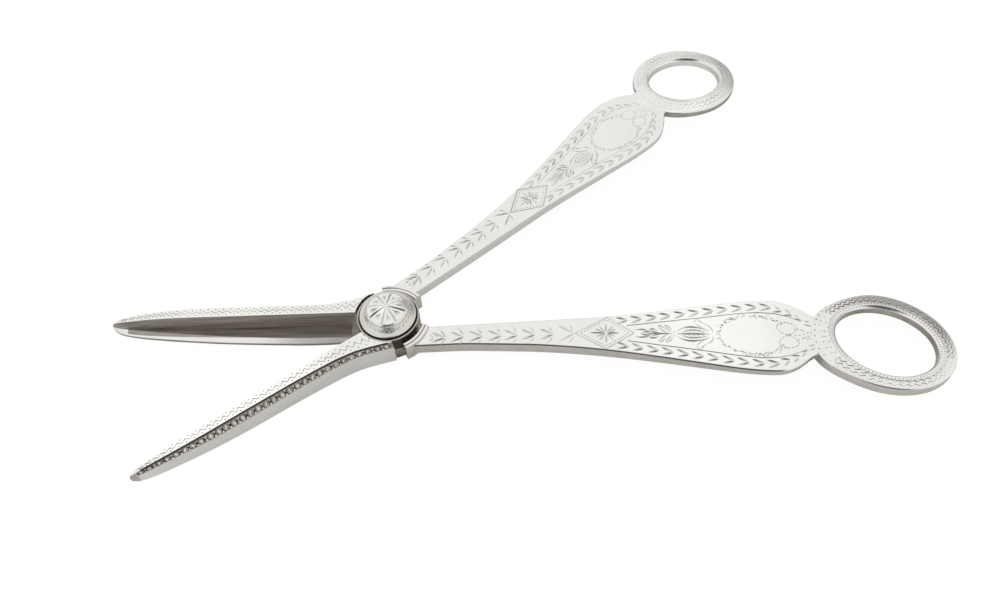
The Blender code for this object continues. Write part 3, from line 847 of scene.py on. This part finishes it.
def blade_place(side, co):
    c, s = math.cos(OPENING[side]), math.sin(OPENING[side])
    x, y = co.x / MM, side * co.y / MM
    return -x * c + y * s, x * s + y * c


print("top of the blades, mm:", round(BLADE_TOP / MM, 2))

# %% Wriggle work and punched moulding
WRIGGLE_START, WRIGGLE_END = 6.2, 60.2
WRIGGLE_COUNT = 31
LIP_START, LIP_LONG = 4.0, 56.0
LIP_STEPS = 40
EGG_START, EGG_END = 3.6, 61.0
EGG_COUNT = 31
COVE_BREAK = 0.55


def top_band(side, along, share):
    inner, outer = between(TOP_INNER[side], along), between(TOP_OUTER[side], along)
    return on_blade(side, along, inner + share * (outer - inner))


def on_cove(side, along, share):
    # across the hollow moulding, from the edge of the top (0) to the foot of the hollow (1)
    flat = between(TOP_OUTER[side], along)
    width, depth = between(COVE_WIDTH, along), between(COVE_DEPTH, along)
    if share < COVE_BREAK:
        return on_blade(side, along, flat + share * 0.4 / COVE_BREAK * width, share * depth)
    rest = (share - COVE_BREAK) / (1.0 - COVE_BREAK)
    return on_blade(side, along, flat + (0.4 + 0.6 * rest) * width, share * depth)


def blade_cuts(side):
    cuts = []
    step = (WRIGGLE_END - WRIGGLE_START) / WRIGGLE_COUNT
    for k in range(WRIGGLE_COUNT):
        along = WRIGGLE_START + step * k
        low, high = 0.35 + shake(0.02), 0.66 + shake(0.02)
        wave = [top_band(side, along - 0.04 * step, low), top_band(side, along + 0.5 * step, high),
                top_band(side, along + 1.04 * step, low)]
        cuts.append(line(wave, 0.28))
        cuts.append(dot(top_band(side, along, 0.78), 0.36))
        cuts.append(dot(top_band(side, along + 0.5 * step, 0.24), 0.32))
    lip = [on_cove(side, LIP_START + LIP_LONG * k / LIP_STEPS, 0.1) for k in range(LIP_STEPS + 1)]
    # painted shade: the lip line and the egg outlines take the darkest finish
    cuts.append(line(lip, 0.64, DEEP_SHADE))
    step = (EGG_END - EGG_START) / EGG_COUNT
    for k in range(EGG_COUNT):
        along = EGG_START + step * (k + 0.5) + shake(0.16)
        for way in (1, -1):
            cuts.append(curl(on_cove(side, along + way * 0.12 * step, 0.3),
                             on_cove(side, along + way * (0.72 + shake(0.12)) * step, 0.62),
                             on_cove(side, along + way * 0.1 * step, 0.98), 0.4 + shake(0.08), DEEP_SHADE))
        # the eggs and the marks between them keep the bright finish, free of the moulding's painted shade
        lean = shake(0.3)
        cuts.append(leaf(on_cove(side, along - lean, 0.36 + shake(0.05)), on_cove(side, along + lean, 0.92),
                         0.52 + shake(0.14), BRIGHT))
        along += 0.5 * step
        cuts.append(leaf(on_cove(side, along, 0.3), on_cove(side, along, 0.55), 0.4, BRIGHT))
        cuts.append(leaf(on_cove(side, along, 0.78), on_cove(side, along, 0.97), 0.4, BRIGHT))
    return cuts


print("eggs in a moulding:", EGG_COUNT, "and waves on a top:", WRIGGLE_COUNT)

# %% [markdown]
# The finishes paint shade that follows the form: the hollow moulding is dark, the sloping faces of
# the near blade's tip are grey, and the channel is dark inside, with its tarnish as well. Towards the
# tip this dark runs on over the upper part of the bevel, so the bevel is sliced along a slanting line
# and gets both finishes.

# %% Make both blades
BLADE_SLICES = [4.17 + 2.41 * k for k in range(24)]
CHANNEL_START = 7.5
INSIDE_DROP = 1.2
LEVEL = 0.97
SHADED_TIP = 61.0
SHADE_LINE = ((22.0, -1.5), (57.0, -0.75))
SHADE_END = 59.5
CREASE = {NEAR: 30.0, FAR: 15.0}


def inside_channel(middle):
    along, outward = blade_place(FAR, middle)
    return outward < between(TOP_INNER[FAR], along) + 0.1


def darken_channel(bm, outward_way):
    for face in bm.faces:
        middle = face.calc_center_median()
        if inside_channel(middle) and blade_place(FAR, middle)[0] > CHANNEL_START:
            # tarnish and painted shade: the channel's wall and its low floor get the dark finish
            wall = face.normal.dot(outward_way) < -0.7
            floor = face.normal.z > LEVEL and middle.z < BLADE_TOP - INSIDE_DROP * MM
            if wall or floor:
                face.material_index = DARK


def darken_bevel(bm, outward_way):
    def is_bevel(face):
        middle = face.calc_center_median()
        low = middle.z < BLADE_TOP - INSIDE_DROP * MM
        return low and inside_channel(middle) and 0.5 < face.normal.z < LEVEL

    # painted shade: the upper part of the bevel towards the tip gets the dark finish
    start, end = (on_blade(FAR, *place) for place in SHADE_LINE)
    across = (end - start).cross(Vector((0.0, 0.0, 1.0))).normalized()
    across *= math.copysign(1.0, across.dot(outward_way))
    slice_faces(bm, [face for face in bm.faces if is_bevel(face)], start, across)
    for face in bm.faces:
        middle = face.calc_center_median()
        upper = (middle - start).dot(across) > 0.0
        if upper and is_bevel(face) and blade_place(FAR, middle)[0] < SHADE_END:
            face.material_index = DARK


def make_blade(node, side):
    bm = blank(node)
    lengthwise = (on_blade(side, 1.0, 0.0) - on_blade(side, 0.0, 0.0)).normalized()
    outward_way = (on_blade(side, 0.0, 1.0) - on_blade(side, 0.0, 0.0)).normalized()
    slice_up(bm, [on_blade(side, along, 0.0) for along in BLADE_SLICES], lengthwise, steep=0.15)
    for face in bm.faces:
        middle = face.calc_center_median()
        along, outward = blade_place(side, middle)
        face.material_index = BRIGHT
        drop = (BLADE_TOP - middle.z) / MM
        # painted shade: the hollow moulding below the top's outer edge is dark
        if outward > between(TOP_OUTER[side], along) and drop < between(COVE_DEPTH, along) - 0.05:
            face.material_index = DARK
        # painted shade: the sloping faces of the near blade's tip get the cove finish
        if side == NEAR and along > SHADED_TIP and face.normal.z < 0.9:
            face.material_index = COVE
    if side == FAR:
        darken_channel(bm, outward_way)
        darken_bevel(bm, outward_way)
    solid_piece("engraved_" + node, node, bm, FINISHES, blade_cuts(side), CREASE[side])


make_blade("cutting_blade", NEAR)
make_blade("channel_blade", FAR)

# %% [markdown]
# ## The joint
# The round plates, the collars, the pin and its washer keep the shapes of their solids, and the
# round ones have their sharp edges eased by a small bevel, as a turned edge is. Their finishes paint
# shade: the walls, the pin and the washer are grey, the plates dark, and the recess round the boss and
# the front of the drum are darkest.

# %% Plates, collars, pin and washer
SHARP_CORNER = math.radians(50.0)
RECESS_RADIUS = 6.75
DRUM_FRONT, DRUM_LEFT = -5.0, -2.0


def ease_edges(bm, width):
    sharp = [e for e in bm.edges if e.is_manifold and e.calc_face_angle(0.0) > SHARP_CORNER]
    bmesh.ops.bevel(bm, geom=sharp, offset=width, offset_type='OFFSET', segments=2, profile=0.5,
                    affect='EDGES', clamp_overlap=True, material=-1)
    bm.normal_update()


def make_plain(node, flat=BRIGHT, wall=SIDE, ease=0.0):
    bm = blank(node)
    if ease:
        ease_edges(bm, ease * MM)
    for face in bm.faces:
        middle = face.calc_center_median()
        # painted shade: walls and joint parts get the darker finishes given, the recess round the boss and
        # the drum's front the darkest
        face.material_index = flat if abs(face.normal.z) > 0.5 else wall
        if node == "upper_joint_plate" and middle.z < BLADE_TOP - 0.2 * MM:
            inside = math.hypot(middle.x, middle.y) < RECESS_RADIUS * MM
            front = middle.y < DRUM_FRONT * MM or middle.x < DRUM_LEFT * MM
            face.material_index = DEEP_SHADE if inside or front else DARK
    solid_piece("plain_" + node, node, bm, FINISHES)


make_plain("upper_joint_plate", COVE, DARK, 0.08)
make_plain("lower_joint_plate", DARK, DARK, 0.08)
make_plain("pivot_pin", SIDE, SIDE, 0.1)
make_plain("tail_washer", SIDE, SIDE, 0.05)
make_plain("lower_collar")
make_plain("upper_collar")

# %% [markdown]
# The boss is a turned button with a domed crown, and a rosette of eight petals chased into it. It
# is turned here too, by spinning half its section full circle, and the petals are cut in along the
# dome. It is a little wider than its solid, so that only a thin dark line shows round it.

# %% Rosette boss
BOSS_LOW, BOSS_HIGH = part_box("rosette_boss")
BOSS_SPREAD = 0.3
BOSS_RADIUS = BOSS_HIGH.x / MM + BOSS_SPREAD
BASE, APEX = BOSS_LOW.z / MM, BOSS_HIGH.z / MM
CROWN = ((5.7, BASE + 1.3), (5.1, BASE + 1.75), (4.78, BASE + 2.2), (4.7, BASE + 2.3), (4.62, APEX - 1.3),
         (4.38, APEX - 1.02), (3.6, APEX - 0.65), (2.8, APEX - 0.38), (1.9, APEX - 0.17),
         (0.95, APEX - 0.04), (0.0, APEX))
CROWN_EDGE = 4.6
PETALS = 8
PETAL_TIP = ((0.03, 4.1), (0.15, 4.3), (0.35, 4.44), (0.65, 4.44), (0.85, 4.3), (0.97, 4.1))
BOSS_ZIGZAG = 30
WAVE = ((0.0, 4.85), (0.17, 5.0), (0.33, 5.2), (0.5, 5.35), (0.67, 5.2), (0.83, 5.0), (1.0, 4.85))
BOSS_STEPS = 96


def on_boss(turn, radius):
    height = APEX
    for (r1, z1), (r0, z0) in zip(CROWN, CROWN[1:]):
        if r0 <= radius <= r1:
            height = z0 + (z1 - z0) * (radius - r0) / (r1 - r0)
    return Vector((radius * MM * math.cos(turn), radius * MM * math.sin(turn), height * MM))


def boss_cut(places, radii):
    return [on_boss(turn, r) for turn, r in places], radii, CUT


def rosette_cuts():
    cuts = []
    step = 2 * math.pi / PETALS
    for k in range(PETALS):
        turn = step * (k + 0.3)
        between_petals = [(turn, r) for r in (0.3, 0.9, 1.6, 2.4, 3.2, 3.9, 4.35)]
        cuts.append(boss_cut(between_petals, [0.05, 0.13, 0.2, 0.26, 0.3, 0.27, 0.12]))
        middle = turn + 0.5 * step
        for lean in (-0.2, 0.0, 0.2):
            start = 1.3 if lean == 0.0 else 1.9
            reach = 3.75 - start - abs(lean)
            vein = [(middle + lean * step * u, start + reach * u) for u in (0, 0.4, 0.75, 1)]
            cuts.append(boss_cut(vein, swell(4, 0.28)))
        tip = [(turn + u * step, r) for u, r in PETAL_TIP]
        cuts.append(boss_cut(tip, swell(len(PETAL_TIP), 0.3)))
    step = 2 * math.pi / BOSS_ZIGZAG
    for k in range(BOSS_ZIGZAG):
        wave = [(step * k + u * step, r) for u, r in WAVE]
        cuts += [boss_cut(wave[:4], swell(4, 0.26)), boss_cut(wave[3:], swell(4, 0.26))]
    return cuts


def make_rosette():
    profile = [(0.0, BASE), (BOSS_RADIUS - 0.1, BASE), (BOSS_RADIUS, BASE + 0.1),
               (BOSS_RADIUS, BASE + 0.95), (BOSS_RADIUS - 0.12, BASE + 1.12), *CROWN]
    bm = bmesh.new()
    verts = [bm.verts.new((r * MM, 0.0, z * MM)) for r, z in profile]
    edges = [bm.edges.new(pair) for pair in zip(verts, verts[1:])]
    bmesh.ops.spin(bm, geom=verts + edges, cent=(0, 0, 0), axis=(0, 0, 1), angle=2 * math.pi,
                   steps=BOSS_STEPS, use_merge=True)
    bmesh.ops.remove_doubles(bm, verts=bm.verts[:], dist=WELD)
    bmesh.ops.recalc_face_normals(bm, faces=bm.faces[:])
    bm.normal_update()
    for face in bm.faces:
        middle = face.calc_center_median()
        # painted shade: the boss's side beyond the crown's edge gets the grey side finish
        face.material_index = SIDE if math.hypot(middle.x, middle.y) > CROWN_EDGE * MM else BRIGHT
    solid_piece("chased_rosette_boss", "rosette_boss", bm, FINISHES, rosette_cuts(), crease=24.0)


make_rosette()

# %% [markdown]
# ## Stage, light and camera
# The shears lie on a plain white floor, as on a photographer's table. Its white comes mostly from
# Light Path's camera ray, so it costs the object no extra light, and what is left of its own shading
# keeps a faint shadow.

# %% Floor
FLOOR_HALF = 3.0
FLOOR_GAP = 0.02 * MM
FLOOR_WHITE = 1.06
WHITE_SHARE = 0.9


def white_floor():
    bm = bmesh.new()
    bmesh.ops.create_grid(bm, x_segments=1, y_segments=1, size=FLOOR_HALF)
    mesh = bpy.data.meshes.new("floor")
    bm.to_mesh(mesh)
    bm.free()
    floor = bpy.data.objects.new("floor", mesh)
    floor.location.z = cad_low.z - FLOOR_GAP
    bpy.context.scene.collection.objects.link(floor)
    paint = bpy.data.materials.new("white_floor")
    paint.use_nodes = True
    nodes, links = paint.node_tree.nodes, paint.node_tree.links
    shader = nodes["Principled BSDF"]
    shader.inputs["Base Color"].default_value = (0.82, 0.815, 0.8, 1.0)
    shader.inputs["Roughness"].default_value = 0.9
    glow = nodes.new('ShaderNodeEmission')
    mix = nodes.new('ShaderNodeMixShader')
    rays = nodes.new('ShaderNodeLightPath')
    share = nodes.new('ShaderNodeMath')
    share.operation = 'MULTIPLY'
    share.inputs[1].default_value = WHITE_SHARE
    glow.inputs["Strength"].default_value = FLOOR_WHITE
    links.new(rays.outputs["Is Camera Ray"], share.inputs[0])
    links.new(share.outputs[0], mix.inputs["Fac"])
    links.new(shader.outputs["BSDF"], mix.inputs[1])
    links.new(glow.outputs["Emission"], mix.inputs[2])
    links.new(mix.outputs["Shader"], nodes["Material Output"].inputs["Surface"])
    mesh.materials.append(paint)
    print("floor at, mm:", round(floor.location.z / MM, 2))


white_floor()

# %% [markdown]
# The camera stands where the photograph's did. Its place is given by the point that it looks at, the
# two angles and the distance from which it does so, and a slight roll.

# %% Camera at the photograph's view
CAMERA_AZIMUTH = math.radians(-18.849)
CAMERA_ELEVATION = math.radians(53.5)
CAMERA_ROLL = math.radians(-3.134)
CAMERA_TARGET = Vector((24.793, -5.428, 7.0)) * MM
CAMERA_DISTANCE = 204.151 * MM
CAMERA_LENS = 32.596


def photo_camera():
    az, el, roll = CAMERA_AZIMUTH, CAMERA_ELEVATION, CAMERA_ROLL
    back = Vector((math.sin(az) * math.cos(el), -math.cos(az) * math.cos(el), math.sin(el)))
    level = Vector((math.cos(az), math.sin(az), 0.0))
    rise = back.cross(level)
    right = math.cos(roll) * level + math.sin(roll) * rise
    up = -math.sin(roll) * level + math.cos(roll) * rise
    data = bpy.data.cameras.new("photo_camera")
    data.lens = CAMERA_LENS
    data.sensor_width = 36.0
    data.sensor_fit = 'HORIZONTAL'
    data.clip_start = 0.005
    camera = bpy.data.objects.new("photo_camera", data)
    bpy.context.scene.collection.objects.link(camera)
    place = Matrix((right, up, back)).transposed().to_4x4()
    place.translation = CAMERA_TARGET + CAMERA_DISTANCE * back
    camera.matrix_world = place
    bpy.context.scene.camera = camera
    print("camera at, mm:", [round(v / MM, 1) for v in place.translation])


photo_camera()

# %% [markdown]
# A mirror shows only its surroundings, so polished silver is lit by what it sees. The world is a
# white tent, open on the camera's side and dim in its far right corner. Those soft dark places give
# the silver its grey edges. The camera itself sees plain white.

# %% White tent with an opening on the camera's side
TENT_WHITE, TENT_DARK, TENT_DIM = 0.86, 0.08, 0.4
OPENING_TILT = math.radians(36.0)
OPENING_SOFT = (14.0, 34.0)
DIM_CORNER = Vector((0.78, 0.5, 0.33))
DIM_SOFT = (9.0, 28.0)


def soft_spot(nodes, links, where, middle, soft, dark):
    inner, outer = soft
    facing = nodes.new('ShaderNodeVectorMath')
    facing.operation = 'DOT_PRODUCT'
    facing.inputs[1].default_value = middle.normalized()
    links.new(where.outputs["Generated"], facing.inputs[0])
    spot = nodes.new('ShaderNodeMapRange')
    spot.interpolation_type = 'SMOOTHSTEP'
    spot.inputs["From Min"].default_value = math.cos(math.radians(outer))
    spot.inputs["From Max"].default_value = math.cos(math.radians(inner))
    spot.inputs["To Min"].default_value = TENT_WHITE
    spot.inputs["To Max"].default_value = dark
    links.new(facing.outputs["Value"], spot.inputs["Value"])
    return spot.outputs["Result"]


def tent():
    flat, rise = math.cos(OPENING_TILT), math.sin(OPENING_TILT)
    opening = Vector((math.sin(CAMERA_AZIMUTH) * flat, -math.cos(CAMERA_AZIMUTH) * flat, rise))
    world = bpy.data.worlds.new("tent")
    bpy.context.scene.world = world
    world.use_nodes = True
    nodes, links = world.node_tree.nodes, world.node_tree.links
    back = nodes["Background"]
    where = nodes.new('ShaderNodeTexCoord')
    hole = soft_spot(nodes, links, where, opening, OPENING_SOFT, TENT_DARK)
    dim = soft_spot(nodes, links, where, DIM_CORNER, DIM_SOFT, TENT_DIM)
    both = nodes.new('ShaderNodeMath')
    both.operation = 'MINIMUM'
    links.new(hole, both.inputs[0])
    links.new(dim, both.inputs[1])
    rays = nodes.new('ShaderNodeLightPath')
    seen = nodes.new('ShaderNodeMath')
    seen.operation = 'MAXIMUM'
    links.new(both.outputs[0], seen.inputs[0])
    links.new(rays.outputs["Is Camera Ray"], seen.inputs[1])
    links.new(seen.outputs[0], back.inputs["Strength"])
    back.inputs["Color"].default_value = (1.0, 1.0, 1.0, 1.0)
    print("tent opens towards:", [round(v, 2) for v in opening])


tent()

# %% [markdown]
# Two faint panels hang in the tent. They show mainly as reflections: one whitens the tops of the
# blades, the other the near handle's cartouche and the near part of its ring.

# %% Panels
PANEL_DISTANCE = 0.8


def panel(name, way, size, glow):
    data = bpy.data.lights.new(name, 'AREA')
    data.shape = 'DISK'
    data.size = size
    data.energy = glow * math.pi * math.pi * (0.5 * size) ** 2
    lamp = bpy.data.objects.new(name, data)
    lamp.location = Vector(way).normalized() * PANEL_DISTANCE
    lamp.rotation_euler = Vector(way).to_track_quat('Z', 'Y').to_euler()
    bpy.context.scene.collection.objects.link(lamp)
    print(name, "power, W:", round(data.energy, 3))


panel("blade_panel", (-0.16, 0.5, 0.85), size=0.22, glow=0.35)
panel("cartouche_panel", (0.45, 0.40, 0.79), size=0.16, glow=0.2)
bpy.context.scene.view_settings.view_transform = 'Standard'
